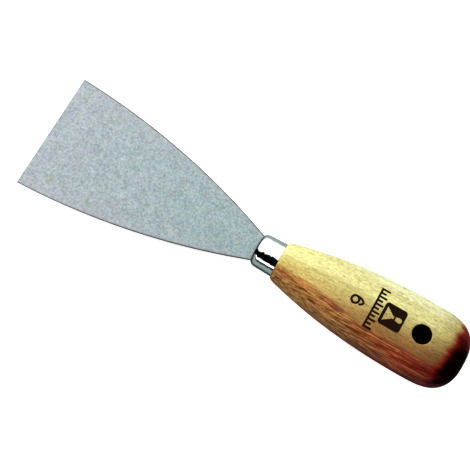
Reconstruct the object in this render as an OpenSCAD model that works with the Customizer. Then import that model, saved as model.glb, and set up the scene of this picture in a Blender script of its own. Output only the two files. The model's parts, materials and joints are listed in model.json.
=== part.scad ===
// Painter's stripping knife, 60 mm wide: a flared spring-steel blade with a tang bedded in a
// beech handle, and a chromed ferrule over the joint.
// X runs along the tool towards the butt, Y across the blade, Z out of the marked face.
// The origin is on the hanging hole's axis, halfway through the handle.

/* [Blade] */
// Width of the working edge
blade_w = 60; // [40:1:80]
// Length of blade in front of the ferrule
blade_len = 112; // [95:1:125]
// Width of the neck where the blade enters the ferrule
neck_w = 13.5; // [11:0.5:13.5]
// Radius of the bowed flanks
flank_r = 350; // [250:10:600]
// Thickness of the neck and of the tang
blade_t = 1.5; // [1.2:0.1:1.8]
// Thickness left at the working edge
edge_t = 0.7; // [0.4:0.1:1]
// Length of the ground taper, from the working edge
grind_len = 84; // [40:1:90]
// Length of the tang behind its shoulders
tang_len = 54; // [35:1:56]
// Width of the tang at its shoulders
tang_w = 8; // [6:0.5:8]
// Width of the tang at its tip
tang_tip_w = 5; // [3:0.5:6]

/* [Ferrule] */
// Length of the ferrule
ferrule_len = 12; // [10:0.5:16]
// Outer diameter behind the rounded front
ferrule_front_d = 16.4; // [16:0.1:16.8]
// Outer diameter at the back rim
ferrule_back_d = 17; // [16.8:0.1:17.4]
// Radius of the rounded front
ferrule_nose_r = 3; // [2:0.25:3.25]
// Wall of the drawn steel
ferrule_wall = 0.7; // [0.5:0.1:0.9]
// Clearance round the blade in the ferrule's slot
slot_gap = 0.1; // [0.05:0.05:0.2]

/* [Handle] */
// Length of the wood behind the ferrule
handle_len = 97; // [85:1:120]
// Width of the belly
belly_w = 37.2; // [32:0.2:42]
// Thickness of the belly
belly_t = 23; // [20:0.5:28]
// Diameter of the handle's neck, before its shoulder is rounded
neck_d = 19.6; // [19:0.2:21]
// Diameter of the wood's front face, round the ferrule's rim
face_d = 17.6; // [17.4:0.1:18.4]
// Length of the rounded shoulder
shoulder_len = 3.5; // [2:0.25:5]
// Squareness of the belly's cross-section: 2 is an ellipse
belly_square = 2.7; // [2:0.1:3.5]
// Distance from the ferrule to the widest part of the belly
belly_at = 72; // [60:1:76]
// Diameter of the tang's bore
tang_bore_d = 9; // [8.5:0.1:10]
// Play between the wood's spigot and the ferrule
spigot_gap = 0.05; // [0.02:0.01:0.1]

/* [Hanging hole] */
// Diameter of the hanging hole
hole_d = 9; // [6:0.5:12]
// Distance from the hole's centre to the end of the butt
hole_from_butt = 24; // [18:1:30]
// Chamfer round both mouths of the hole
hole_chamfer = 0.7; // [0.3:0.1:1.2]

/* [Hidden] */
$fn = 96;

// Places along the tool
butt_x = hole_from_butt;
handle_x = butt_x - handle_len;
ferrule_x = handle_x - ferrule_len;
edge_x = ferrule_x - blade_len;
// The tang's shoulders stop this far inside the ferrule
shoulder_depth = 3.5;
tang_x = ferrule_x + shoulder_depth;
// The bore runs on a little past the tip of the tang
bore_end_x = tang_x + tang_len + 1;
// How far the cutting shapes stand clear of what they cut
past = 1;

// The handle's surface: how its neck swells, and how its butt rounds off
swell_power = 2.1;
butt_fullness = 3.4;
butt_roundness = 2.6;
butt_edge_len = 19;
last_ring = 88.4;
square_len = 30;
ring_points = 48;
shoulder_rings = 6;
body_rings = 14;
butt_rings = 14;

// Centre of the arc of radius r through p and q that bows away from the tool's axis
function arc_centre(p, q, r) =
    let (
        chord = q - p,
        half = norm(chord) / 2,
        along = chord / norm(chord)
    )
    (p + q) / 2 + sqrt(r * r - half * half) * [along[1], -along[0]];

// From 0 at the ferrule to 1 at the belly, fast at first
function swell(x) = 1 - pow(1 - min(x / belly_at, 1), swell_power);

// What the rounded shoulder takes off the neck, as a part of the whole step
function shoulder_cut(x) = x >= shoulder_len ? 0 : 1 - sqrt(1 - pow(1 - x / shoulder_len, 2));

// What the rounding of the last len of the butt leaves, from 1 down to 0
function butt_left(x, len) =
    let (t = max(0, (x - (handle_len - len)) / len))
    pow(1 - pow(min(t, 1), butt_fullness), 1 / butt_roundness);

// Half of the handle's width or thickness at x behind the ferrule
function half_size(x, belly, round_len) =
    (neck_d / 2 + (belly / 2 - neck_d / 2) * swell(x)
        - (neck_d - face_d) / 2 * shoulder_cut(x)) * butt_left(x, round_len);

// The cross-section goes from a circle at the neck to a squared oval at the belly
function squareness(x) =
    let (t = min(x / square_len, 1))
    2 + (belly_square - 2) * t * t * (3 - 2 * t);

function signed_power(v, p) = sign(v) * pow(abs(v), p);

function ring(x) = [
    for (i = [0 : ring_points - 1])
        let (angle = 360 * i / ring_points, p = 2 / squareness(x))
        [
            handle_x + x,
            half_size(x, belly_w, handle_len - belly_at) * signed_power(cos(angle), p),
            half_size(x, belly_t, butt_edge_len) * signed_power(sin(angle), p)
        ]
];

// Rings lie closest where the surface turns fastest
station_x = concat(
    [for (i = [0 : shoulder_rings - 1]) shoulder_len * (1 - cos(90 * i / shoulder_rings))],
    [for (i = [0 : body_rings - 1]) shoulder_len + (belly_at - shoulder_len) * i / body_rings],
    [for (i = [0 : butt_rings]) belly_at + (handle_len - belly_at) * sin(last_ring * i / butt_rings)]
);

module handle_shape() {
    n = ring_points;
    rings = len(station_x);
    points = [for (x = station_x) each ring(x)];
    sides = [
        for (i = [0 : rings - 2], j = [0 : n - 1])
            let (k = (j + 1) % n)
            [i * n + j, (i + 1) * n + j, (i + 1) * n + k, i * n + k]
    ];
    front = [[for (j = [0 : n - 1]) j]];
    butt = [[for (j = [n - 1 : -1 : 0]) (rings - 1) * n + j]];
    polyhedron(points, concat(sides, front, butt));
}

// Half of the ferrule's section, all its faces moved in by inset: radius across, length up
module cap_profile(inset, length) {
    nose_r = ferrule_nose_r - inset;
    nose_x = ferrule_front_d / 2 - ferrule_nose_r;
    polygon([
        [0, inset],
        [nose_x, inset],
        [nose_x, ferrule_nose_r],
        [ferrule_front_d / 2 - inset, ferrule_nose_r],
        [ferrule_back_d / 2 - inset, ferrule_len],
        [ferrule_back_d / 2 - inset, length],
        [0, length]
    ]);
    intersection() {
        translate([nose_x, ferrule_nose_r])
            circle(r = nose_r);
        translate([nose_x, inset])
            square([nose_r, nose_r]);
    }
}

// Turns a half section about the tool's axis, with the ferrule's front at the section's base
module turned() {
    translate([ferrule_x, 0, 0])
        rotate([0, 90, 0])
        rotate_extrude()
        children();
}

module tang_bore(radius, start_x, end_x) {
    translate([start_x, 0, 0])
        rotate([0, 90, 0])
        cylinder(h = end_x - start_x, r = radius);
}

module blade_outline() {
    corner = [edge_x, blade_w / 2];
    neck = [ferrule_x, neck_w / 2];
    centre = arc_centre(corner, neck, flank_r);
    intersection() {
        translate(centre)
            circle(r = flank_r, $fn = 256);
        translate([centre[0], -centre[1]])
            circle(r = flank_r, $fn = 256);
        translate([edge_x, -blade_w / 2])
            square([blade_len, blade_w]);
    }
    translate([ferrule_x - past, -neck_w / 2])
        square([shoulder_depth + past, neck_w]);
    polygon([
        [tang_x - past, -tang_w / 2],
        [tang_x + tang_len, -tang_tip_w / 2],
        [tang_x + tang_len, tang_tip_w / 2],
        [tang_x - past, tang_w / 2]
    ]);
}

// The blade seen from its side: ground thinner towards the working edge
module blade_side() {
    polygon([
        [edge_x, -edge_t / 2],
        [edge_x + grind_len, -blade_t / 2],
        [tang_x + tang_len + past, -blade_t / 2],
        [tang_x + tang_len + past, blade_t / 2],
        [edge_x + grind_len, blade_t / 2],
        [edge_x, edge_t / 2]
    ]);
}

// Rolled spring steel, one piece with its tang
module blade() {
    color("#A9B6B9")
        intersection() {
            linear_extrude(height = blade_t + past, center = true)
                blade_outline();
            rotate([90, 0, 0])
                linear_extrude(height = blade_w + past, center = true)
                blade_side();
        }
}

// Drawn steel cap, chromed, slotted for the blade
module ferrule() {
    color("#D5DADB")
        difference() {
            turned()
                difference() {
                    cap_profile(0, ferrule_len);
                    cap_profile(ferrule_wall, ferrule_len + past);
                }
            translate([ferrule_x - past, -neck_w / 2 - slot_gap, -blade_t / 2 - slot_gap])
                cube([shoulder_depth + past, neck_w + 2 * slot_gap, blade_t + 2 * slot_gap]);
        }
}

// Resin that fills the ferrule's nose and beds the tang in its bore
module tang_bedding() {
    color("#7A6A4C")
        difference() {
            union() {
                turned()
                    intersection() {
                        cap_profile(ferrule_wall, ferrule_len);
                        square([ferrule_front_d, shoulder_depth]);
                    }
                tang_bore(tang_bore_d / 2, tang_x - past, bore_end_x);
            }
            blade();
        }
}

// One piece of beech: belly, butt and the spigot that fills the ferrule
module handle() {
    color("#CDAA62")
        difference() {
            union() {
                handle_shape();
                turned()
                    intersection() {
                        cap_profile(ferrule_wall + spigot_gap, ferrule_len + shoulder_len);
                        translate([0, shoulder_depth])
                            square([ferrule_back_d, ferrule_len]);
                    }
            }
            tang_bore(tang_bore_d / 2, tang_x - past, bore_end_x);
            hanging_hole();
        }
}

module hanging_hole() {
    mouth = belly_t / 2 - hole_chamfer;
    cylinder(h = belly_t + 2 * past, d = hole_d, center = true);
    for (side = [0, 1])
        mirror([0, 0, side])
            translate([0, 0, mouth])
            cylinder(
                h = hole_chamfer + past,
                r1 = hole_d / 2,
                r2 = hole_d / 2 + hole_chamfer + past
            );
}

blade();
ferrule();
tang_bedding();
handle();
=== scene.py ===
import functools
import json
import math

import bmesh
import bpy
from mathutils import Matrix, Vector


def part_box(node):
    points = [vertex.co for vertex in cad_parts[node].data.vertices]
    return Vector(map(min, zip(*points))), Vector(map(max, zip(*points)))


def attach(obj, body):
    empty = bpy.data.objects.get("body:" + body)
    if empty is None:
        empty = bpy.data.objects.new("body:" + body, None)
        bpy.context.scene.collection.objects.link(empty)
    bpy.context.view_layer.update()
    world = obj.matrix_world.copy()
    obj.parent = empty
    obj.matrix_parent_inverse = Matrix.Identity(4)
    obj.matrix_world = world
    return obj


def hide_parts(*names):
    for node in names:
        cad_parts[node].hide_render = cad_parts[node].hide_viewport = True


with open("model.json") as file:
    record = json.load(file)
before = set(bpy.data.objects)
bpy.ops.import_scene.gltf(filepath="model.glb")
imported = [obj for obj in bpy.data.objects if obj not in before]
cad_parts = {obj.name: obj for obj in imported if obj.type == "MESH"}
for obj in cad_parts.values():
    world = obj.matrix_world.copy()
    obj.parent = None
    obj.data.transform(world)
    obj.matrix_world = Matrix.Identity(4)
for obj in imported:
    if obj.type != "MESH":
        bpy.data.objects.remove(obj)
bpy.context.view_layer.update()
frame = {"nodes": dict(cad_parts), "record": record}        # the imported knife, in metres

# X runs to the butt, Y across the blade, and Z out of the marked face
mm = 0.001
bladeLow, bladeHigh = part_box("blade")
ferruleLow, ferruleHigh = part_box("ferrule")
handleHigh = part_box("handle")[1]
hole = next(m for m in frame["record"]["mounts"] if m["name"] == "hanging_hole")

edgeX = bladeLow.x           # the working edge
ferruleX = ferruleLow.x      # the ferrule's rounded front
faceX = ferruleHigh.x        # where the wood starts behind the ferrule


def linearColor(hexText):
    # sRGB hex to the linear values that the shaders work in
    values = [int(hexText[i:i + 2], 16) / 255 for i in (1, 3, 5)]
    return [v / 12.92 if v <= 0.04045 else ((v + 0.055) / 1.055) ** 2.4 for v in values] + [1.0]


def inMetres(lengths):
    return [length * mm for length in lengths]


def setInputs(node, inputs):
    # Inputs go by name or in order. Each takes a value, a colour as hex text, an output, a node,
    # which gives its first output in use, or a list, for several links into one socket. A pair for
    # From or To is the range's two ends.
    for key, value in inputs.items() if isinstance(inputs, dict) else enumerate(inputs):
        if key in ("From", "To"):
            setInputs(node, {key + " Min": value[0], key + " Max": value[1]})
            continue
        fits = [node.inputs[key]] if isinstance(key, int) else [
            s for s in node.inputs if s.enabled and s.name == key]
        for source in value if isinstance(value, list) else [value]:
            if isinstance(source, bpy.types.Node):
                source = next(s for s in source.outputs if s.enabled)
            if isinstance(source, bpy.types.NodeSocket):
                node.id_data.links.new(source, fits[0])
            else:
                isColor = isinstance(source, str) and source.startswith("#")
                fits[0].default_value = linearColor(source) if isColor else source


def addNode(tree, kind, inputs=(), **settings):
    # one node with its settings and links; its kind goes without the usual beginning
    starts = ("GeometryNode", "ShaderNode", "")
    node = tree.nodes.new(next(s + kind for s in starts if hasattr(bpy.types, s + kind)))
    for name, value in settings.items():
        setattr(node, name, value)
    setInputs(node, inputs)
    return node


def newPiece(name, mesh):
    piece = bpy.data.objects.new(name, mesh)
    bpy.context.scene.collection.objects.link(piece)
    return piece


def meshOf(piece):
    # the mesh of a curve, or of a piece after its modifiers
    bpy.context.view_layer.update()
    evaluated = piece.evaluated_get(bpy.context.evaluated_depsgraph_get())
    return bpy.data.meshes.new_from_object(evaluated)


def toPlainMesh(piece):
    # what the modifiers give becomes the piece's own mesh, and the modifiers go
    mesh = meshOf(piece)
    piece.modifiers.clear()
    piece.data = mesh
    return piece


def takeMesh(piece):
    # the helper goes, and only its mesh is left
    mesh = meshOf(piece)
    bpy.data.objects.remove(piece)
    return mesh


def tidyMesh(piece, sharpAngle):
    # joins doubles, drops loose bits, turns faces outward, and keeps corners crisp
    work = bmesh.new()
    work.from_mesh(piece.data)
    bmesh.ops.remove_doubles(work, verts=work.verts, dist=0.002 * mm)
    bmesh.ops.dissolve_degenerate(work, dist=0.0005 * mm, edges=work.edges)
    loose = [e for e in work.edges if not e.link_faces]
    bmesh.ops.delete(work, geom=loose, context="EDGES")
    bmesh.ops.recalc_face_normals(work, faces=work.faces)
    for face in work.faces:
        face.smooth = True
    work.to_mesh(piece.data)
    work.free()
    piece.data.set_sharp_from_angle(angle=math.radians(sharpAngle))
    return piece


def newGroup(name, inputs, result):
    # a geometry tree; each input has a kind, and a number its usual value
    tree = bpy.data.node_groups.new(name, "GeometryNodeTree")
    for label, (kind, *usual) in inputs.items():
        socket = tree.interface.new_socket(label, in_out="INPUT", socket_type="NodeSocket" + kind)
        if usual:
            socket.default_value = usual[0]
    tree.interface.new_socket(result, in_out="OUTPUT", socket_type="NodeSocketGeometry")
    add = functools.partial(addNode, tree)
    return tree, add, add("NodeGroupInput").outputs


def endGroup(add, geometry, finish, result):
    real = add("RealizeInstances", {"Geometry": geometry})
    finished = add("SetMaterial", {"Geometry": real, "Material": finish})
    add("NodeGroupOutput", {result: finished})


def addTree(piece, tree, values):
    # a modifier's inputs go by their sockets' identifiers
    modifier = piece.modifiers.new(tree.name, "NODES")
    modifier.node_group = tree
    names = {s.name: s.identifier for s in tree.interface.items_tree if s.in_out == "INPUT"}
    for name, value in values.items():
        modifier[names[name]] = value


# the blade's outline, which its material follows too
bladeShape = {
    "neck": 13.5,            # width where it enters the ferrule
    "flankRadius": 350.0,
    "edgeThickness": 0.7,
    "grindLength": 84.0,
    "shoulderDepth": 3.5,    # the neck runs this far into the ferrule
    "tang": 8.0,
    "tangTip": 5.0,
    "softening": 0.12,       # how far the sheared edges are broken
    "flankSteps": 72,
}


def findFlankCentre():
    # each flank is an arc that bows out, through the corner of the edge and the neck
    s = bladeShape
    corner = Vector((edgeX / mm, bladeHigh.y / mm))
    chord = Vector((ferruleX / mm, s["neck"] / 2)) - corner
    rise = math.sqrt(s["flankRadius"] ** 2 - (chord.length / 2) ** 2)
    return corner + chord / 2 + rise * Vector((chord.y, -chord.x)) / chord.length


flankCentre = findFlankCentre()


# settings that many nodes share
inColor = {"data_type": "RGBA"}
tinting = {"data_type": "RGBA", "blend_type": "MULTIPLY"}
smoothly = {"interpolation_type": "SMOOTHSTEP"}


def newMaterial(name):
    material = bpy.data.materials.new(name)
    material.use_nodes = True
    tree = material.node_tree
    return material, functools.partial(addNode, tree), tree.nodes["Principled BSDF"]


def objectPattern(add, kind, perMetre, **extra):
    # a texture in the piece's own coordinates, with so many features to a metre along each axis
    coords = add("TexCoord").outputs["Object"]
    mapping = add("Mapping", {"Vector": coords, "Scale": perMetre})
    return add(kind, {"Vector": mapping, "Scale": 1.0, **extra})


beechLook = {
    "pale": "#E6E6AC",         # sapwood colour under clear lacquer
    "tan": "#D2CB8C",
    "grainLine": "#AE9C54",
    "fleck": "#9A7C40",        # the short brown rays that mark beech
    "middle": "#F2E8D4",       # painted shade on the top, towards the lower flank
    "border": "#EFD3B2",       # and right beside the lower flank, painted shade too
    "neckShade": "#C6B2A6",         # painted shade behind the neck
    "flank": "#D3A76B",        # painted shade along the lower flank: darker, redder wood
    "flankDark": "#673920",
    "flankShadeRed": "#F09CA2",
    "streak": "#BE5E22",
    "shadedStreak": "#843410",
    "buttShadeTint": "#DDD0BC",        # painted shade in front of the butt
    "buttShadeRed": "#84160F",      # painted shade on the butt, dark red
    "lowerEdgeShade": "#BE6C66",        # painted shade along the lower edge
    "shadeBlack": "#200404",        # painted shade: the butt's black middle, and the wall of the hanging hole
    "roughness": 0.42,
    "lacquer": 0.35,
    "coatRoughness": 0.22,
    # how many features fit in a metre, along the grain, across it and through the handle
    "figureScale": (11, 150, 110),
    "grainScale": (60, 1500, 1100),
    "fleckScale": (330, 1900, 1900),
    "speckleScale": (560, 1300, 1300),
    "waverScale": (40, 420, 420),
    "veinScale": (110, 1400, 1200),
    "streakScale": (65, 1400, 1100),
    "buttShadeScale": (90, 320, 320),
    # millimetres: places across the handle, at its neck and at its belly
    "flankShadeEdge": (-4.8, -9.6),
    "streakBand": (1.5, 6.5),
    # millimetres along the handle, from the hanging hole
    "redRange": (14.5, 18.5),
    "blackRange": (17.0, 20.5),
}


def beech():
    # Beech, turned, sanded and lacquered: straight fine grain with short brown flecks, orange
    # streaks and a thin clear coat that gives a soft highlight. The red-brown flank and the dark
    # butt are painted shade.
    look = beechLook
    material, add, shader = newMaterial("lacqueredBeech")
    coords = add("TexCoord").outputs["Object"]
    x, y, z = add("SeparateXYZ", {"Vector": coords}).outputs

    figure = objectPattern(add, "TexNoise", look["figureScale"], Detail=3.0)
    lines = objectPattern(add, "TexNoise", look["grainScale"], Detail=5.0, Roughness=0.62)
    flecks = objectPattern(add, "TexNoise", look["fleckScale"], Detail=1.5)
    speckle = objectPattern(add, "TexNoise", look["speckleScale"], Detail=3.0, Roughness=0.65)

    figureRamp = add("MapRange", {"Value": figure, "From": (0.32, 0.68)})
    body = add("Mix", {"Factor": figureRamp, "A": look["pale"], "B": look["tan"]}, **inColor)
    lineRamp = add("MapRange", {"Value": lines, "From": (0.5, 0.75), "To Max": 0.6})
    lined = add("Mix", {"Factor": lineRamp, "A": body, "B": look["grainLine"]}, **inColor)
    fleckRamp = add("MapRange", {"Value": flecks, "From": (0.6, 0.7), "To Max": 0.55})
    flecked = add("Mix", {"Factor": fleckRamp, "A": lined, "B": look["fleck"]}, **inColor)
    speckRamp = add("MapRange", {"Value": speckle, "From": (0.3, 0.7), "To": (0.78, 1.2)})
    top = add("Mix", {"Factor": 1.0, "A": flecked, "B": speckRamp}, **tinting)

    # painted shade: the top darkens from straw to tan towards the lower flank and towards the butt,
    # and is painted lighter on the upper side
    across = add("MapRange", {"Value": y, "From": (-7 * mm, 14 * mm)})
    tint = add("ValToRGB", {"Fac": across})
    stops = tint.color_ramp.elements
    stops[0].color, stops[1].color = linearColor(look["border"]), (1.06, 1.1, 1.4, 1)
    stops.new(0.33).color = linearColor(look["middle"])
    stops.new(0.72).color = (1, 1, 1, 1)
    along = add("MapRange", {"Value": x, "From": (-70 * mm, 10 * mm), "To": (1.04, 0.84)})
    # painted shade: behind the neck it darkens well before the flank's painted shade starts
    inward = add("MapRange", {"Value": y, "From": (6 * mm, -6 * mm)})
    behind = add("MapRange", {"Value": x, "From": (-62 * mm, -18 * mm)})
    neckShade = add("Math", (inward, behind), operation="MULTIPLY")
    neckShaded = add("Mix", {"Factor": neckShade, "A": tint, "B": look["neckShade"]}, **tinting)
    shade = add("Mix", {"Factor": 1.0, "A": neckShaded, "B": along}, **tinting)
    top = add("Mix", {"Factor": 1.0, "A": top, "B": shade}, **tinting)

    # the boundary of the painted flank shade runs along the top face, further out towards the belly
    boundary = add("MapRange", {"Value": x, "From": (-62 * mm, -15 * mm),
                                "To": inMetres(look["flankShadeEdge"])}, **smoothly)
    beyond = add("Math", (boundary, y), operation="SUBTRACT")
    waver = objectPattern(add, "TexNoise", look["waverScale"], Detail=4.0)
    waverSize = add("MapRange", {"Value": waver, "To": (-3.2 * mm, 3.2 * mm)})
    depth = add("Math", (beyond, waverSize), operation="ADD")
    flankMask = add("MapRange", {"Value": depth, "From": (-1.2 * mm, 2.2 * mm), "To Max": 0.9},
                    **smoothly)
    veins = objectPattern(add, "TexNoise", look["veinScale"], Detail=4.0, Roughness=0.65)
    veinRamp = add("MapRange", {"Value": veins, "From": (0.4, 0.62)})
    flankTone = add("Mix", {"Factor": veinRamp, "A": look["flank"], "B": look["flankDark"]}, **inColor)
    flankSpeck = add("Mix", {"Factor": 1.0, "A": flankTone, "B": speckRamp}, **tinting)
    # painted shade: the flank reddens towards the butt
    redder = add("MapRange", {"Value": x, "From": (-32 * mm, 4 * mm)})
    flankShaded = add("Mix", {"Factor": redder, "A": flankSpeck, "B": look["flankShadeRed"]}, **tinting)
    flanked = add("Mix", {"Factor": flankMask, "A": top, "B": flankShaded}, **inColor)
    # red grain streaks where the flank's painted shade starts
    streaks = objectPattern(add, "TexNoise", look["streakScale"], Detail=5.0, Roughness=0.7)
    streakRamp = add("MapRange", {"Value": streaks, "From": (0.47, 0.57)})
    # orange near the ferrule, darkened to dark red towards the butt as painted shade
    streakShading = add("MapRange", {"Value": x, "From": (-62 * mm, -38 * mm)})
    streakTint = add("Mix", {"Factor": streakShading, "A": look["streak"], "B": look["shadedStreak"]},
                     **inColor)
    nearEdge = add("MapRange", {"Value": beyond, "From": (-0.8 * mm, 1.2 * mm)})
    # the streaked band is thin at the neck and broad at the belly
    bandEnd = add("MapRange", {"Value": x, "From": (-60 * mm, -15 * mm),
                               "To": inMetres(look["streakBand"])})
    spare = add("Math", (bandEnd, beyond), operation="SUBTRACT")
    farEdge = add("MapRange", {"Value": spare, "From": (-2 * mm, 1 * mm), "To": (0.15, 1.0)})
    band = add("Math", (nearEdge, farEdge), operation="MULTIPLY")
    streakMask = add("Math", (streakRamp, band), operation="MULTIPLY")
    streakPart = add("Math", (streakMask, 0.8), operation="MULTIPLY")
    streaked = add("Mix", {"Factor": streakPart, "A": flanked, "B": streakTint}, **inColor)
    # painted shade: the butt turns dark red over a few millimetres, sooner on the lower flank, and
    # black within
    lean = add("Math", (y, -0.15, x), operation="MULTIPLY_ADD")
    buttShading = add("MapRange", {"Value": lean, "From Max": 13 * mm})
    duller = add("Mix", {"Factor": buttShading, "A": streaked, "B": look["buttShadeTint"]}, **tinting)
    # painted shade darkens the lower edge of the belly
    lower = add("MapRange", {"Value": z, "From": (4 * mm, -1 * mm)})
    rearward = add("MapRange", {"Value": x, "From": (-50 * mm, -10 * mm), "To Min": 0.15})
    near = add("MapRange", {"Value": y, "From": (-1 * mm, -13 * mm)}, **smoothly)
    lowerEdgeShade = add("Math", (lower, rearward), operation="MULTIPLY")
    lowerEdgeShaded = add("Math", (lowerEdgeShade, near), operation="MULTIPLY")
    duller = add("Mix", {"Factor": lowerEdgeShaded, "A": duller, "B": look["lowerEdgeShade"]}, **tinting)
    buttShadeNoise = objectPattern(add, "TexNoise", look["buttShadeScale"], Detail=4.0, Roughness=0.6)
    buttShadeReach = add("Math", (buttShadeNoise, 6 * mm, lean), operation="MULTIPLY_ADD")
    redMask = add("MapRange", {"Value": buttShadeReach, "From": inMetres(look["redRange"])}, **smoothly)
    reddened = add("Mix", {"Factor": redMask, "A": duller, "B": look["buttShadeRed"]}, **inColor)
    blackEnd = add("MapRange", {"Value": buttShadeReach, "From": inMetres(look["blackRange"])}, **smoothly)
    offMiddle = add("Math", (y, 5 * mm), operation="ADD")
    aside = add("Math", (offMiddle,), operation="ABSOLUTE")
    blot = add("Math", (buttShadeNoise, -12 * mm, aside), operation="MULTIPLY_ADD")
    within = add("MapRange", {"Value": blot, "From": (1 * mm, 9 * mm), "To": (1.0, 0.2)},
                 **smoothly)
    blackMask = add("Math", (blackEnd, within), operation="MULTIPLY")
    # the hanging hole's wall is painted the same near black, as shade inside the bore
    holeRadius = hole["dims"]["r_mm"]
    outY = add("Math", (y, 2.0), operation="POWER")
    outX = add("Math", (x, 2.0), operation="POWER")
    outSquare = add("Math", (outX, outY), operation="ADD")
    fromHole = add("Math", (outSquare,), operation="SQRT")
    boreMask = add("MapRange", {"Value": fromHole,
                                "From": ((holeRadius + 0.02) * mm, (holeRadius + 0.2) * mm),
                                "To": (1.0, 0.0)})
    dark = add("Math", (blackMask, boreMask), operation="MAXIMUM")
    color = add("Mix", {"Factor": dark, "A": reddened, "B": look["shadeBlack"]}, **inColor)

    roughness = add("MapRange", {"Value": lines,
                                 "To": (look["roughness"] - 0.08, look["roughness"] + 0.12)})
    bump = add("Bump", {"Height": lines, "Strength": 0.35, "Distance": 0.05 * mm})
    # the butt, the bore and the lower edge, painted dark as shade, are dull
    dull = add("Math", (dark, lowerEdgeShaded), operation="MAXIMUM")
    lacquer = add("MapRange", {"Value": dull, "To": (look["lacquer"], 0.0)})
    gloss = add("MapRange", {"Value": dull, "To": (0.5, 0.08)})
    setInputs(shader, {"Base Color": color, "Roughness": roughness, "Normal": bump,
                       "Coat Weight": lacquer, "Coat Roughness": look["coatRoughness"],
                       "Specular IOR Level": gloss})
    return material


steelLook = {
    "light": "#BEC4C7",
    "dark": "#737B7E",
    "nearEdge": "#96989C",
    "nearNeck": "#879897",
    "tarnish": "#7E8266",
    "flankLineFar": "#4A4442",      # the dull line along the flanks
    "flankLineNear": "#8A8488",
    "roughness": 0.5,
    # how many features fit in a metre
    "toothScale": (950, 950, 950),
    "cloudScale": (150, 150, 150),
    "tintScale": (38, 38, 38),
    "temperScale": (520, 520, 520),
    "spotScale": (170, 170, 170),
}


def rolledSteel():
    # Spring steel strip, cold rolled, hardened and left matt: even grey with a fine mottled tooth,
    # faintly purple towards the edge and green towards the neck.
    look = steelLook
    material, add, shader = newMaterial("rolledSpringSteel")
    # the tooth is drawn at 1 mm, coarser than the real one, so that it shows
    tooth = objectPattern(add, "TexNoise", look["toothScale"], Detail=2.0, Roughness=0.7)
    clouds = objectPattern(add, "TexNoise", look["cloudScale"], Detail=3.0)
    tints = objectPattern(add, "TexNoise", look["tintScale"], Detail=2.0)
    both = add("Mix", {"Factor": 0.3, "A": tooth, "B": clouds})
    ramp = add("MapRange", {"Value": both, "From": (0.31, 0.69)})
    grey = add("Mix", {"Factor": ramp, "A": look["dark"], "B": look["light"]}, **inColor)
    coords = add("TexCoord").outputs["Object"]
    x, y = add("SeparateXYZ", {"Vector": coords}).outputs[:2]
    backward = add("MapRange", {"Value": x, "From": (edgeX, ferruleX), "To": (-0.3, 0.7)})
    # how far inside the flanks a point lies
    s = bladeShape
    offX = add("Math", (x, flankCentre.x * mm), operation="SUBTRACT")
    square = add("Math", (offX, 2.0), operation="POWER")
    rest = add("Math", ((s["flankRadius"] * mm) ** 2, square), operation="SUBTRACT")
    root = add("Math", (rest,), operation="SQRT")
    half = add("Math", (root, flankCentre.y * mm), operation="ADD")
    side = add("Math", (y,), operation="ABSOLUTE")
    inside = add("Math", (half, side), operation="SUBTRACT")
    flankSide = add("MapRange", {"Value": inside, "From Max": 9 * mm, "To": (0.45, 0.0)})
    drawn = add("Math", (backward, flankSide), operation="SUBTRACT")
    tintPart = add("Math", (tints, drawn), operation="ADD", use_clamp=True)
    tint = add("Mix", {"Factor": tintPart, "A": look["nearEdge"], "B": look["nearNeck"]}, **inColor)
    tinted = add("Mix", {"Factor": 0.5, "A": grey, "B": tint}, **inColor)
    # faint temper colours, speck by speck
    temper = objectPattern(add, "TexNoise", look["temperScale"], Detail=3.0)
    color = add("Mix", {"Factor": 0.18, "A": tinted, "B": temper.outputs["Color"]}, **inColor,
                blend_type="SOFT_LIGHT")
    # a few olive spots of old tarnish
    spots = objectPattern(add, "TexNoise", look["spotScale"], Detail=3.0, Roughness=0.6)
    spotMask = add("MapRange", {"Value": spots, "From": (0.62, 0.74), "To Max": 0.4})
    color = add("Mix", {"Factor": spotMask, "A": color, "B": look["tarnish"]}, **inColor)
    # a dull line follows the flanks, darker on the far side
    lineMask = add("MapRange", {"Value": inside, "From": (0.25 * mm, 0.7 * mm), "To": (0.8, 0.0)})
    far = add("Math", (y, 0.0), operation="GREATER_THAN")
    line = add("Mix", {"Factor": far, "A": look["flankLineNear"], "B": look["flankLineFar"]}, **inColor)
    color = add("Mix", {"Factor": lineMask, "A": color, "B": line}, **inColor)
    roughness = add("MapRange", {"Value": clouds,
                                 "To": (look["roughness"] - 0.08, look["roughness"] + 0.08)})
    bump = add("Bump", {"Height": tooth, "Strength": 0.3, "Distance": 0.03 * mm})
    setInputs(shader, {"Metallic": 1.0, "Base Color": color, "Roughness": roughness,
                       "Normal": bump})
    return material


chromeLook = {
    "plate": "#F2F5F6",
    "shadeAndReflection": "#20262C",         # painted shade at the nose, painted dark reflections on the underside and in the wedge
    "wedgeFront": 30,          # degrees from the top to the wedge, at the ferrule's front
    "wedgeBack": 25,           # and at its back
    "wedgeRag": 20,            # how far its upper edge strays
    "wedgeEnd": 38,
    # how many features fit in a metre
    "rippleScale": (420, 150, 150),
    "hazeScale": (500, 900, 900),
    "raggedScale": (430, 0, 0),
}


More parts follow.
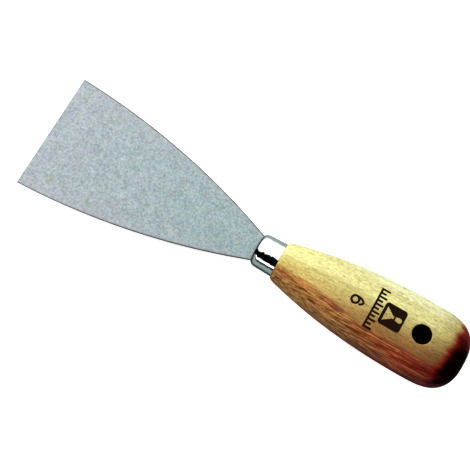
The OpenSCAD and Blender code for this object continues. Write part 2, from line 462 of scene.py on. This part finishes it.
def chromePlate():
    # Bright chromium plate on drawn steel: a mirror, rippled by the drawing and faintly hazed.
    look = chromeLook
    material, add, shader = newMaterial("chromePlate")
    ripple = objectPattern(add, "TexNoise", look["rippleScale"], Detail=1.0)
    haze = objectPattern(add, "TexNoise", look["hazeScale"], Detail=3.0)
    tone = add("MapRange", {"Value": haze, "To": (0.78, 0.92)})
    color = add("Mix", {"Factor": 1.0, "A": look["plate"], "B": tone}, **tinting)
    roughness = add("MapRange", {"Value": haze, "To": (0.04, 0.12)})
    bump = add("Bump", {"Height": ripple, "Strength": 0.9, "Distance": 0.3 * mm})
    # painted shade at the drawn nose, and a painted dark reflection along the underside
    coords = add("TexCoord").outputs["Object"]
    x, y, z = add("SeparateXYZ", {"Vector": coords}).outputs
    nose = add("MapRange", {"Value": x, "From": (ferruleX + 0.5 * mm, ferruleX + 1.1 * mm),
                            "To": (0.12, 1.0)})
    under = add("MapRange", {"Value": z, "From": (0.5 * mm, 2.0 * mm), "To": (0.12, 1.0)})
    # the flag's reflection widens into a ragged wedge towards the handle
    inward = add("Math", (y, -1.0), operation="MULTIPLY")
    fall = add("Math", (inward, z), operation="ARCTAN2")
    ragged = objectPattern(add, "TexNoise", look["raggedScale"], Detail=1.5)
    rise = add("MapRange", {"Value": x, "From": (ferruleX, faceX),
                            "To": (math.radians(look["wedgeFront"]),
                                   math.radians(look["wedgeBack"]))})
    limit = add("Math", (ragged, math.radians(-look["wedgeRag"]), rise), operation="MULTIPLY_ADD")
    past = add("Math", (fall, limit), operation="SUBTRACT")
    above = add("MapRange", {"Value": past, "From Max": 0.03, "To": (1.0, 0.0)})
    beyond = add("Math", (fall, math.radians(look["wedgeEnd"])), operation="GREATER_THAN")
    wedge = add("Math", (above, beyond), operation="MAXIMUM")
    # painted shade and painted reflections darken the plate here
    shadeAndReflection = add("Math", (nose, under), operation="MINIMUM")
    wearAndShade = add("Math", (shadeAndReflection, wedge), operation="MINIMUM")
    color = add("Mix", {"Factor": wearAndShade, "A": look["shadeAndReflection"], "B": color}, **inColor)
    setInputs(shader, {"Metallic": 1.0, "Base Color": color, "Roughness": roughness,
                       "Normal": bump})
    return material


resinLook = {
    "dark": "#3A3020",
    "light": "#6B5A3C",
    "roughness": 0.6,
    "gritScale": (1600, 1600, 1600),     # grains to a metre
}


def curedResin():
    # Filled resin, set in the ferrule's nose: dull brown, a little grainy.
    look = resinLook
    material, add, shader = newMaterial("curedResin")
    grit = objectPattern(add, "TexNoise", look["gritScale"], Detail=3.0)
    color = add("Mix", {"Factor": grit, "A": look["dark"], "B": look["light"]}, **inColor)
    bump = add("Bump", {"Height": grit, "Strength": 0.5, "Distance": 0.1 * mm})
    setInputs(shader, {"Base Color": color, "Roughness": look["roughness"], "Normal": bump})
    return material


inkLook = {
    "ink": "#301C08",
    "wearAndShade": "#4A320C",
    "gloss": 0.2,
    "wearScale": (500, 2200, 2200),      # worn specks to a metre
}


def stampInk():
    # Hot-stamped foil under the lacquer: dark brown, worn thin in specks where the grain stands up.
    look = inkLook
    material, add, shader = newMaterial("stampInk")
    wear = objectPattern(add, "TexNoise", look["wearScale"], Detail=3.0)
    ramp = add("MapRange", {"Value": wear, "From": (0.55, 0.75)})
    color = add("Mix", {"Factor": ramp, "A": look["ink"], "B": look["wearAndShade"]}, **inColor)
    roughness = add("MapRange", {"Value": wear, "To": (0.35, 0.6)})
    setInputs(shader, {"Base Color": color, "Roughness": roughness,
                       "Specular IOR Level": look["gloss"]})
    return material


materials = {
    "wood": beech(),
    "steel": rolledSteel(),
    "chrome": chromePlate(),
    "resin": curedResin(),
    "ink": stampInk(),
}
print("materials made:", ", ".join(materials))


def loftTree():
    # The handle, the ferrule and the hole's cutter are skinned over sections. Each input point is
    # one section: X is its place, Y and Z its half width and half height, and the squareness
    # attribute its outline, 2 being an ellipse.
    tree, add, given = newGroup("loftSections", {
        "Sections": ["Geometry"], "Points around": ["Int", 96], "Finish": ["Material"]}, "Loft")
    count = add("AttributeDomainSize", {"Geometry": given["Sections"]})
    rows = add("Math", (given["Points around"], 1), operation="ADD")
    grid = add("MeshGrid", {"Size X": 1.0, "Size Y": 1.0, "Vertices X": count, "Vertices Y": rows})
    position = add("InputPosition")
    flat = add("SeparateXYZ", {"Vector": position})
    along = add("Math", (flat.outputs["X"], 0.5), operation="ADD")
    last = add("Math", (count, 1), operation="SUBTRACT")
    step = add("Math", (along, last), operation="MULTIPLY")
    section = add("Math", (step,), operation="ROUND")
    turn = add("Math", (flat.outputs["Y"], 0.5), operation="ADD")
    angle = add("Math", (turn, math.tau), operation="MULTIPLY")

    size = add("SampleIndex", {"Geometry": given["Sections"], "Value": position, "Index": section},
               data_type="FLOAT_VECTOR", domain="POINT")
    sizes = add("SeparateXYZ", {"Vector": size})
    named = add("InputNamedAttribute", {"Name": "squareness"}, data_type="FLOAT")
    square = add("SampleIndex", {"Geometry": given["Sections"], "Value": named, "Index": section},
                 data_type="FLOAT", domain="POINT")
    power = add("Math", (2.0, square), operation="DIVIDE")

    sides = []
    for axis, wave in (("Y", "COSINE"), ("Z", "SINE")):
        swing = add("Math", (angle,), operation=wave)
        reach = add("Math", (swing,), operation="ABSOLUTE")
        shaped = add("Math", (reach, power), operation="POWER")
        sign = add("Math", (swing,), operation="SIGN")
        signed = add("Math", (shaped, sign), operation="MULTIPLY")
        sides.append(add("Math", (signed, sizes.outputs[axis]), operation="MULTIPLY"))
    place = add("CombineXYZ", {"X": sizes.outputs["X"], "Y": sides[0], "Z": sides[1]})
    skin = add("SetPosition", {"Geometry": grid, "Position": place})
    joined = add("MergeByDistance", {"Geometry": skin, "Distance": 0.002 * mm})
    endGroup(add, joined, given["Finish"], "Loft")
    return tree


loft = loftTree()


def loftPiece(name, sections, pointsAround, finish):
    # sections: (x, half width, half height, squareness), in millimetres from the frame's origin
    mesh = bpy.data.meshes.new(name)
    mesh.from_pydata([Vector(s[:3]) * mm for s in sections], [], [])
    square = mesh.attributes.new("squareness", "FLOAT", "POINT")
    square.data.foreach_set("value", [s[3] for s in sections])
    piece = newPiece(name, mesh)
    addTree(piece, loft, {"Points around": pointsAround, "Finish": finish})
    return tidyMesh(toPlainMesh(piece), 30)


def roundSections(profile):
    # a turned shape, from its points (x, radius); the squareness of a circle is 2
    return [(x, r, r, 2.0) for x, r in profile]


def cutAway(piece, cutter, sharpAngle):
    modifier = piece.modifiers.new("cut", "BOOLEAN")
    modifier.object = cutter
    modifier.operation = "DIFFERENCE"
    modifier.solver = "EXACT"
    toPlainMesh(piece)
    bpy.data.objects.remove(cutter)
    return tidyMesh(piece, sharpAngle)


def arc(centreX, centreR, radius, start, end, steps):
    # points (x, r) on a round corner, from start to end degrees, 0 along X and 90 outward
    turns = [math.radians(start + (end - start) * i / steps) for i in range(steps + 1)]
    return [(centreX + radius * math.cos(t), centreR + radius * math.sin(t)) for t in turns]


handleShape = {
    "neck": 19.6,            # diameter before the shoulder is rounded
    "face": 17.6,            # diameter of the wood's front face
    "shoulder": 3.5,         # length of the rounded shoulder
    "bellyAt": 72.0,         # from the ferrule to the widest place
    "squareness": 2.7,
    "squareBy": 30.0,        # the section is fully squared this far behind the ferrule
    "buttLength": 19.0,      # length of the butt's rounding, seen from the side
    "swell": 2.1,
    "fullness": 3.4,
    "roundness": 2.6,
    "spigot": 7.5,           # radius of the wood inside the ferrule
    "bore": 4.5,             # radius of the tang's bore
    "boreLength": 55.0,
    "spigotStart": 3.5,      # from the ferrule's front
    "mouthRound": 0.8,       # rounding of the hanging hole's mouths
    "mouthSteps": 8,
    "chamfer": 0.3,          # on the spigot's front
    "shoulderRings": 14,
    "bodyRings": 90,
    "buttRings": 60,
    "pointsAround": 192,
    "holePoints": 96,
}
bellyHalf = handleHigh.y / mm
thickHalf = handleHigh.z / mm
lengthMm = (handleHigh.x - faceX) / mm
faceMm = faceX / mm


def handleHalf(x, belly, roundLength):
    # half width or half thickness, x millimetres behind the ferrule
    s = handleShape
    neck = s["neck"] / 2
    swell = 1 - (1 - min(x / s["bellyAt"], 1)) ** s["swell"]
    half = neck + (belly - neck) * swell
    if x < s["shoulder"]:
        half -= (s["neck"] - s["face"]) / 2 * (1 - math.sqrt(1 - (1 - x / s["shoulder"]) ** 2))
    t = min(max(0, (x - (lengthMm - roundLength)) / roundLength), 1)
    return half * max(0, 1 - t ** s["fullness"]) ** (1 / s["roundness"])


def handleSquareness(x):
    t = min(x / handleShape["squareBy"], 1)
    return 2 + (handleShape["squareness"] - 2) * t * t * (3 - 2 * t)


def handleSection(x):
    s = handleShape
    return (faceMm + x, handleHalf(x, bellyHalf, lengthMm - s["bellyAt"]),
            handleHalf(x, thickHalf, s["buttLength"]), handleSquareness(x))


def makeHandle():
    s = handleShape
    spigotX = ferruleX / mm + s["spigotStart"]
    inside = [(spigotX + s["boreLength"], 0), (spigotX + s["boreLength"], s["bore"]),
              (spigotX, s["bore"]), (spigotX, s["spigot"] - s["chamfer"]),
              (spigotX + s["chamfer"], s["spigot"]), (faceMm, s["spigot"])]
    sections = roundSections(inside)
    # rings lie closest where the surface turns fastest
    quarter = math.pi / 2
    count = s["shoulderRings"]
    shoulderX = [s["shoulder"] * (1 - math.cos(quarter * i / count)) for i in range(count)]
    count, length = s["bodyRings"], s["bellyAt"] - s["shoulder"]
    bodyX = [s["shoulder"] + length * i / count for i in range(count)]
    count, length = s["buttRings"], lengthMm - s["bellyAt"]
    buttX = [s["bellyAt"] + length * math.sin(quarter * i / count) for i in range(count + 1)]
    sections += [handleSection(x) for x in shoulderX + bodyX + buttX]
    return loftPiece("beechHandle", sections, s["pointsAround"], materials["wood"])


def makeHoleCutter():
    s = handleShape
    radius, corner = hole["dims"]["r_mm"], s["mouthRound"]
    rounding = arc(thickHalf - corner, radius + corner, corner, 270, 360, s["mouthSteps"])
    # it stands clear of the wood, a little wider than the mouth
    clear = thickHalf + 2
    wide = [(clear, radius + corner + 0.2), (clear, 0)]
    half = rounding + wide
    profile = [(-x, r) for x, r in reversed(half)] + half
    cutter = loftPiece("holeCutter", roundSections(profile), s["holePoints"], materials["wood"])
    stand = Matrix.Translation(hole["pos_m"]) @ Matrix.Rotation(-math.pi / 2, 4, "Y")
    cutter.data.transform(stand)
    return cutter


handle = cutAway(makeHandle(), makeHoleCutter(), 32)
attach(handle, "root")
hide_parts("handle")
print("handle:", len(handle.data.polygons), "faces")


ferruleShape = {
    "nose": 3.0,             # radius of the rounded front
    "front": 8.2,            # radius behind the rounding
    "wall": 0.7,
    "rim": 0.2,              # rounding of the back rim
    "slotWidth": 13.7,
    "slotHeight": 1.7,
    "slotDepth": 4.0,        # from the front
    "noseSteps": 20,
    "innerSteps": 12,
    "rimSteps": 4,
    "pointsAround": 160,
}


def makeFerrule():
    s = ferruleShape
    start, end = ferruleX / mm, faceX / mm
    back = ferruleHigh.z / mm
    tiny = 0.3               # the slot takes the middle away
    noseX, noseR = start + s["nose"], s["front"] - s["nose"]
    outer = [(start, tiny)] + arc(noseX, noseR, s["nose"], 180, 90, s["noseSteps"])
    rim = s["rim"]
    outer += arc(end - rim, back - rim, rim, 90, 0, s["rimSteps"])
    inner = [(end, back - s["wall"]), (noseX, s["front"] - s["wall"])]
    inner += arc(noseX, noseR, s["nose"] - s["wall"], 90, 180, s["innerSteps"])
    inner += [(start + s["wall"], tiny), (start, tiny)]
    return loftPiece("chromedFerrule", roundSections(outer + inner), s["pointsAround"],
                     materials["chrome"])


def makeSlotCutter():
    s = ferruleShape
    mesh = bpy.data.meshes.new("slotCutter")
    work = bmesh.new()
    bmesh.ops.create_cube(work, size=1.0)
    size = Vector((2 * s["slotDepth"], s["slotWidth"], s["slotHeight"])) * mm
    place = Matrix.Translation((ferruleX, 0, 0)) @ Matrix.Diagonal((*size, 1))
    bmesh.ops.transform(work, matrix=place, verts=work.verts)
    work.to_mesh(mesh)
    work.free()
    return newPiece("slotCutter", mesh)


ferrule = cutAway(makeFerrule(), makeSlotCutter(), 32)
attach(ferrule, "root")
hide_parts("ferrule")
print("ferrule:", len(ferrule.data.polygons), "faces")


def makeBlade():
    s = bladeShape
    start, front, tip = edgeX / mm, ferruleX / mm, bladeHigh.x / mm
    halfNeck = s["neck"] / 2
    thick = (bladeHigh.z - bladeLow.z) / mm
    flank = []
    for i in range(s["flankSteps"] + 1):
        x = start + (front - start) * i / s["flankSteps"]
        rise = math.sqrt(s["flankRadius"] ** 2 - (x - flankCentre.x) ** 2)
        flank.append((x, flankCentre.y + rise))
    inside = front + s["shoulderDepth"]
    upper = flank + [(inside, halfNeck), (inside, s["tang"] / 2), (tip, s["tangTip"] / 2)]
    outline = upper + [(x, -y) for x, y in reversed(upper)]

    work = bmesh.new()
    top = work.faces.new([work.verts.new((x, y, 1)) for x, y in outline])
    raised = bmesh.ops.extrude_face_region(work, geom=[top])
    for v in [g for g in raised["geom"] if isinstance(g, bmesh.types.BMVert)]:
        v.co.z = -1
    grindEnd = start + s["grindLength"]
    bmesh.ops.bisect_plane(work, geom=work.verts[:] + work.edges[:] + work.faces[:],
                           plane_co=(grindEnd, 0, 0), plane_no=(1, 0, 0))
    for v in work.verts:
        part = min((v.co.x - start) / s["grindLength"], 1)
        v.co.z *= (s["edgeThickness"] + (thick - s["edgeThickness"]) * part) / 2
    bmesh.ops.scale(work, vec=(mm, mm, mm), verts=work.verts)
    bmesh.ops.recalc_face_normals(work, faces=work.faces)
    mesh = bpy.data.meshes.new("scraperBlade")
    work.to_mesh(mesh)
    work.free()
    piece = newPiece("scraperBlade", mesh)
    bevel = piece.modifiers.new("softening", "BEVEL")
    bevel.width = s["softening"] * mm
    bevel.segments = 2
    bevel.limit_method = "ANGLE"
    bevel.angle_limit = math.radians(40)
    toPlainMesh(piece)
    piece.data.materials.clear()
    piece.data.materials.append(materials["steel"])
    return tidyMesh(piece, 20)


blade = makeBlade()
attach(blade, "root")
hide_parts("blade")
print("blade:", len(blade.data.polygons), "faces")

bedding = frame["nodes"]["tang_bedding"]
bedding.data.materials.clear()
bedding.data.materials.append(materials["resin"])


markShape = {
    "numberHeight": 6.9,     # the six is the width of the blade, in centimetres
    "bowl": 2.3,             # radius of the six's round part
    "numberLine": 1.05,
    "tailEnd": 34,           # degrees
    "numberX": -32.8,
    "numberY": -1.1,
    "ruleX": -24.6,
    "ruleLength": 19.6,
    "ruleLine": 0.95,
    "ticks": 11,
    "badgeX": -15.2,
    "badgeSize": 11.0,
    "proud": 0.02,
    "depth": 0.12,
    "cell": 0.8,             # the mark is cut this fine so that it can bend with the wood
    "cutFromX": -45,
    "cutFromY": -30,
    "cutReach": 60,
    "above": 5.0,            # how far over the wood it is drawn
}


def ruleTree():
    # a ruled line with ticks standing on it
    tree, add, given = newGroup("ruledLine", {
        "Geometry": ["Geometry"], "Length": ["Float", 0.02], "Ticks": ["Int", 11],
        "Line": ["Float", 0.0007], "Tall tick": ["Float", 0.0034], "Short tick": ["Float", 0.0022],
        "Finish": ["Material"]}, "Rule")
    gaps = add("Math", (given["Ticks"], 1), operation="SUBTRACT")
    pitch = add("Math", (given["Length"], gaps), operation="DIVIDE")
    half = add("Math", (given["Length"], -0.5), operation="MULTIPLY")
    first = add("CombineXYZ", {"X": half})
    step = add("CombineXYZ", {"X": pitch})
    points = add("MeshLine", {"Count": given["Ticks"], "Start Location": first, "Offset": step})
    index = add("InputIndex")
    odd = add("Math", (index, 2), operation="MODULO")
    height = add("Mix", {"Factor": odd, "A": given["Tall tick"], "B": given["Short tick"]})
    tick = add("MeshGrid", {"Size X": 1.0, "Size Y": 1.0, "Vertices X": 2, "Vertices Y": 2})
    lifted = add("Transform", {"Geometry": tick, "Translation": (0, 0.5, 0)})
    tickSize = add("CombineXYZ", {"X": given["Line"], "Y": height, "Z": 1.0})
    ticks = add("InstanceOnPoints", {"Points": points, "Instance": lifted, "Scale": tickSize})
    barLength = add("Math", (given["Length"], given["Line"]), operation="ADD")
    bar = add("MeshGrid", {"Size X": barLength, "Size Y": given["Line"], "Vertices X": 2,
                           "Vertices Y": 2})
    drop = add("Math", (given["Line"], -0.5), operation="MULTIPLY")
    down = add("CombineXYZ", {"Y": drop})
    lowered = add("Transform", {"Geometry": bar, "Translation": down})
    both = add("JoinGeometry", {"Geometry": [ticks, lowered]})
    endGroup(add, both, given["Finish"], "Rule")
    return tree


def onSurfaceTree():
    # drops a flat mark onto a piece, along Z, and gives it a little depth
    tree, add, given = newGroup("markOnSurface", {
        "Mark": ["Geometry"], "Surface": ["Object"], "Proud": ["Float", 0.00002],
        "Depth": ["Float", 0.0001], "Finish": ["Material"]}, "Geometry")
    target = add("ObjectInfo", {"Object": given["Surface"]}, transform_space="RELATIVE")
    hit = add("Raycast", {"Target Geometry": target.outputs["Geometry"],
                          "Ray Direction": (0, 0, -1), "Ray Length": 0.1})
    lift = add("CombineXYZ", {"Z": given["Proud"]})
    place = add("VectorMath", (hit.outputs["Hit Position"], lift), operation="ADD")
    laid = add("SetPosition", {"Geometry": given["Mark"], "Position": place})
    sink = add("Math", (given["Depth"], -1.0), operation="MULTIPLY")
    down = add("CombineXYZ", {"Z": sink})
    bottom = add("ExtrudeMesh", {"Mesh": laid, "Offset": down, "Offset Scale": 1.0,
                                 "Individual": False})
    lid = add("FlipFaces", {"Mesh": laid})
    both = add("JoinGeometry", {"Geometry": [bottom, lid]})
    joined = add("MergeByDistance", {"Geometry": both, "Distance": 0.001 * mm})
    endGroup(add, joined, given["Finish"], "Geometry")
    return tree


# the mark reads with its top towards the butt: its own X runs to -Y, its own Y to +X
markTurn = Matrix.Rotation(-math.pi / 2, 4, "Z")


def flatShape(name, outlines):
    # outlines inside one another are cut out, as in a stencil
    curve = bpy.data.curves.new(name, "CURVE")
    curve.dimensions = "2D"
    curve.fill_mode = "BOTH"
    for outline in outlines:
        spline = curve.splines.new("POLY")
        spline.points.add(len(outline) - 1)
        for point, (x, y) in zip(spline.points, outline):
            point.co = (x * mm, y * mm, 0, 1)
        spline.use_cyclic_u = True
    return takeMesh(newPiece(name, curve))


def roundedSquare(size, corner, steps=8):
    points = []
    reach = size / 2 - corner
    for k, (sx, sy) in enumerate(((1, 1), (-1, 1), (-1, -1), (1, -1))):
        for i in range(steps + 1):
            turn = math.radians(90 * k + 90 * i / steps)
            points.append((sx * reach + corner * math.cos(turn),
                           sy * reach + corner * math.sin(turn)))
    return points


def numberMesh():
    # a six: a round bowl, and a tail that rises from its left and hooks over
    s = markShape
    bowl, line = s["bowl"], s["numberLine"]
    rise = s["numberHeight"] - bowl

    def tail(start, end, inset):
        turns = [math.radians(start + (end - start) * i / 16) for i in range(17)]
        return [((bowl - inset) * math.cos(t), (rise - inset) * math.sin(t)) for t in turns]

    # where the tail's inner side leaves the bowl
    across, up = bowl - line, rise - line
    meet = math.asin(math.sqrt((bowl ** 2 - across ** 2) / (up ** 2 - across ** 2)))
    join = math.degrees(math.atan2(up * math.sin(meet), -across * math.cos(meet)))
    outline = tail(s["tailEnd"], 180, 0)[:-1] + arc(0, 0, bowl, 180, 360 + join, 32)[:-1]
    outline += tail(180 - math.degrees(meet), s["tailEnd"], line)
    ring = [outline, arc(0, 0, bowl - line, 0, 360, 32)[:-1]]
    drop = (bowl - rise) / 2
    return flatShape("number", [[(x, y + drop) for x, y in part] for part in ring])


def ruleMesh():
    s = markShape
    piece = newPiece("rule", bpy.data.meshes.new("rule"))
    addTree(piece, ruleTree(), {"Length": s["ruleLength"] * mm, "Ticks": s["ticks"],
                                "Line": s["ruleLine"] * mm, "Finish": materials["ink"]})
    return takeMesh(piece)


def badgeMesh():
    # a plain square with a little scraper left bare in it
    size = markShape["badgeSize"]
    knife = [(-3.6, -4.1), (3.6, -4.1), (0.7, -0.1), (0.7, 0.6), (-0.7, 0.6), (-0.7, -0.1)]
    grip = [(x, y + 2.75) for x, y in arc(0, 0.6, 1.25, 0, 180, 10)] + [(-0.85, 1.3), (0.85, 1.3)]
    return flatShape("badge", [roundedSquare(size, 1.6), knife, grip])


def makeMark():
    s = markShape
    work = bmesh.new()
    parts = ((numberMesh(), s["numberX"], s["numberY"]), (ruleMesh(), s["ruleX"], 0),
             (badgeMesh(), s["badgeX"], 0))
    for mesh, x, y in parts:
        place = Vector((x, y, thickHalf + s["above"])) * mm
        mesh.transform(Matrix.Translation(place) @ markTurn)
        work.from_mesh(mesh)
    bmesh.ops.remove_doubles(work, verts=work.verts, dist=0.001 * mm)
    # cut into small cells, so that the flat shapes can follow the wood
    for axis, first in (((1, 0, 0), s["cutFromX"]), ((0, 1, 0), s["cutFromY"])):
        for i in range(int(s["cutReach"] / s["cell"]) + 1):
            offset = first + i * s["cell"]
            bmesh.ops.bisect_plane(work, geom=work.verts[:] + work.edges[:] + work.faces[:],
                                   plane_co=Vector(axis) * offset * mm, plane_no=axis)
    for face in work.faces:
        if face.normal.z < 0:
            face.normal_flip()
    mesh = bpy.data.meshes.new("sizeMark")
    work.to_mesh(mesh)
    work.free()
    piece = newPiece("sizeMark", mesh)
    addTree(piece, onSurfaceTree(), {"Surface": handle, "Proud": s["proud"] * mm,
                                     "Depth": s["depth"] * mm, "Finish": materials["ink"]})
    return tidyMesh(toPlainMesh(piece), 40)


mark = makeMark()
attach(mark, "root")
print("mark:", len(mark.data.polygons), "faces")


stageLook = {
    "floor": "#F4F3F0",
    "floorSize": 4.0,
    "floorRoughness": 0.9,
    "floorGloss": 0.1,
    "sky": 0.155,            # light from all over the upper half
    "key": 1.38,             # a broad soft light, up and to the blade's side
    "keyFrom": (-0.55, 0.52, 0.65),
    "strip": 1.6,            # a long low light on the near side
    "floorGlow": 0.45,       # lifts the shadows on the board, for the camera only
    "shadowInner": 5.0,      # but not this round one under the hanging hole, in millimetres
    "shadowOuter": 12.0,
    "floorInMirror": "#B9C2C1",
    "roomInMirror": "#4A5357",   # what mirrors see instead of the board, further out
    "roomFrom": (-0.045, -0.09),
    "tentInMirror": 0.85,    # white cloth overhead, seen in the chrome
    "wallsInMirror": 0.5,    # walls, as a part of the cloth
    "flagMiddle": 51.2,      # degrees from overhead to the black flag, seen in the chrome
    "flagReach": 18.2,
    "backdrop": 1.0,
}


def restSlope():
    # the knife lies on the corner of its blade and the shoulder of its handle
    low = bladeShape["edgeThickness"] / 2
    slopes = []
    for i in range(1, 200):
        x = lengthMm * i / 200
        under = handleHalf(x, thickHalf, handleShape["buttLength"])
        slopes.append((low - under) / (faceMm + x - edgeX / mm))
    return min(slopes)


def makeFloor():
    slope = restSlope()
    look = stageLook
    mesh = bpy.data.meshes.new("floor")
    work = bmesh.new()
    bmesh.ops.create_grid(work, x_segments=8, y_segments=8, size=look["floorSize"] / 2)
    tilt = Matrix.Rotation(-math.atan(slope), 4, "Y")
    contact = Vector((edgeX, 0, -bladeShape["edgeThickness"] / 2 * mm))
    bmesh.ops.transform(work, matrix=Matrix.Translation(contact) @ tilt, verts=work.verts)
    work.to_mesh(mesh)
    work.free()
    floor = newPiece("floor", mesh)
    material, add, shader = newMaterial("paleBoard")
    # matt board: pale, but duller to bounced light, so that the knife's lower edges stay dark
    coords = add("TexCoord").outputs["Object"]
    across = add("SeparateXYZ", {"Vector": coords})
    far = add("MapRange", {"Value": across.outputs["Y"], "From": look["roomFrom"]})
    mirrored = add("Mix", {"Factor": far, "A": look["floorInMirror"], "B": look["roomInMirror"]},
                   **inColor)
    # a soft round shadow on the board keeps the hanging hole dark
    flat = add("VectorMath", (coords, (1, 1, 0)), operation="MULTIPLY")
    fromHole = add("VectorMath", (flat,), operation="LENGTH")
    unshaded = add("MapRange", {"Value": fromHole,
                                "From": (look["shadowInner"] * mm, look["shadowOuter"] * mm)},
                   **smoothly)
    seen = add("Mix", {"Factor": unshaded, "A": (0, 0, 0, 1), "B": look["floor"]}, **inColor)
    path = add("LightPath")
    color = add("Mix", {"Factor": path.outputs["Is Camera Ray"], "A": mirrored, "B": seen},
                **inColor)
    lift = add("Math", (unshaded, look["floorGlow"]), operation="MULTIPLY")
    glow = add("Math", (path.outputs["Is Camera Ray"], lift), operation="MULTIPLY")
    setInputs(shader, {"Base Color": color, "Roughness": look["floorRoughness"],
                       "Specular IOR Level": look["floorGloss"], "Emission Color": (1, 1, 1, 1),
                       "Emission Strength": glow})
    mesh.materials.append(material)
    return floor


def makeLight():
    world = bpy.data.worlds.new("studio")
    world.use_nodes = True
    bpy.context.scene.world = world
    tree = world.node_tree
    tree.nodes.clear()
    add = functools.partial(addNode, tree)
    look = stageLook
    ray = add("TexCoord").outputs["Generated"]
    key = Vector(look["keyFrom"]).normalized()
    toward = add("VectorMath", (ray, key), operation="DOT_PRODUCT")
    keyPart = add("MapRange", {"Value": toward, "From": (0.35, 0.95), "To Max": look["key"]},
                  **smoothly)
    x, y, z = add("SeparateXYZ", {"Vector": ray}).outputs
    up = add("MapRange", {"Value": z, "From": (-0.1, 0.0), "To": (0.03, look["sky"])})
    base = add("Math", (keyPart, up), operation="ADD")
    # the strip hangs a little above the horizon
    low = add("Math", (z, 0.17, 0.09), operation="COMPARE")
    near = add("MapRange", {"Value": y, "From": (-0.6, -0.45), "To": (look["strip"], 0.0)})
    strip = add("Math", (low, near), operation="MULTIPLY")
    light = add("Math", (base, strip), operation="ADD")
    # a white cloth overhead and a black flag beside the camera, seen only in reflections: they give
    # the chrome its white top and its dark band
    path = add("LightPath")
    over = add("Math", (z, 0.1), operation="GREATER_THAN")
    beside = add("Math", (x, 0.0, 0.35), operation="COMPARE")
    cloth = add("Math", (over, beside), operation="MULTIPLY")
    # and pale walls to both ends, so that the steel isn't black from low down
    lowDown = add("Math", (z, 0.27, 0.24), operation="COMPARE")
    ends = add("Math", (lowDown, beside), operation="SUBTRACT", use_clamp=True)
    walls = add("Math", (ends, look["wallsInMirror"]), operation="MULTIPLY")
    white = add("Math", (cloth, walls), operation="MAXIMUM")
    glossyCloth = add("Math", (white, path.outputs["Is Glossy Ray"]), operation="MULTIPLY")
    clothLight = add("Math", (glossyCloth, look["tentInMirror"]), operation="MULTIPLY")
    light = add("Math", (light, clothLight), operation="MAXIMUM")
    out = add("Math", (y, -1.0), operation="MULTIPLY")
    fall = add("Math", (out, z), operation="ARCTAN2")
    middle, reach = math.radians(look["flagMiddle"]), math.radians(look["flagReach"])
    flag = add("Math", (fall, middle, reach), operation="COMPARE")
    inMirror = add("Math", (flag, path.outputs["Is Glossy Ray"]), operation="MULTIPLY")
    keep = add("Math", (1.0, inMirror), operation="SUBTRACT")
    lit = add("Math", (light, keep), operation="MULTIPLY")
    strength = add("Mix", {"Factor": path.outputs["Is Camera Ray"], "A": lit,
                           "B": look["backdrop"]})
    background = add("Background", {"Color": (1, 1, 1, 1), "Strength": strength})
    add("OutputWorld", {"Surface": background})


cameraPlace = {
    "lens": 98.5,            # millimetres, on a 36 mm sensor
    "distance": 0.599,       # from the lens to the middle of the knife
    "aimFromEdge": 0.107,    # the middle of the knife, behind the working edge
    "swing": -4.34,          # degrees: the butt lies a little nearer
    "lean": 15.58,           # degrees: the lower flank shows
    "roll": 30.9,            # degrees: the butt hangs down to the right
    "right": -0.00587,       # how far the aim lies off the middle, across the view
    "down": -0.00342,
}


def makeCamera():
    s = cameraPlace
    swing, lean, roll = (math.radians(s[k]) for k in ("swing", "lean", "roll"))
    along = Vector((math.cos(swing), 0, math.sin(swing)))
    across = Vector((-math.sin(swing) * math.sin(lean), math.cos(lean),
                     math.cos(swing) * math.sin(lean)))
    back = Vector((-math.sin(swing) * math.cos(lean), -math.sin(lean),
                   math.cos(swing) * math.cos(lean)))
    right = along * math.cos(roll) + across * math.sin(roll)
    up = across * math.cos(roll) - along * math.sin(roll)
    middle = Vector((edgeX + s["aimFromEdge"], 0, 0))
    spot = middle + right * s["right"] - up * s["down"] + back * s["distance"]
    lens = bpy.data.cameras.new("camera")
    lens.lens = s["lens"]
    lens.sensor_width = 36.0
    lens.clip_start = 0.01
    camera = newPiece("camera", lens)
    camera.matrix_world = Matrix.Translation(spot) @ Matrix((right, up, back)).transposed().to_4x4()
    bpy.context.scene.camera = camera


makeFloor()
makeLight()
makeCamera()
bpy.context.scene.view_settings.view_transform = "Standard"
bpy.context.scene.view_settings.look = "Very High Contrast"
print("stage, light and camera ready")
